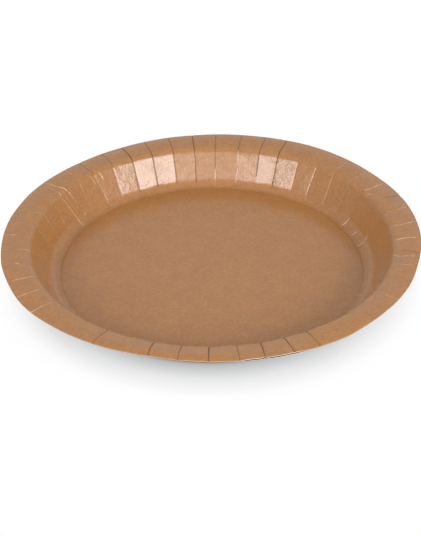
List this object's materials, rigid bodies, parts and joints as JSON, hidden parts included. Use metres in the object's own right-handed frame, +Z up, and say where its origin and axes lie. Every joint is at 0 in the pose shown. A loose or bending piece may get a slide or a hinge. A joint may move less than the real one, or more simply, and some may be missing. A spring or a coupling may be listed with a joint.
{
  "type": "paper plate",
  "caption": "Round dinner plate pressed from kraft paperboard, with a flat rim, a steep side wall, radial folds round rim and wall, and a floor raised inside its resting ring.",
  "frame": {"origin": "centre of the resting ring, on the table", "axes": "+Z up along the plate's axis, +X to the right and -Y to the front as the picture shows it"},
  "size_m": [0.23, 0.23, 0.0212],
  "materials": {
    "kraft_board": "kraft brown board with a thin glossy water-resistant coating"
  },
  "bodies": {
    "root": {"plate": "kraft_board"}
  },
  "joints": []
}
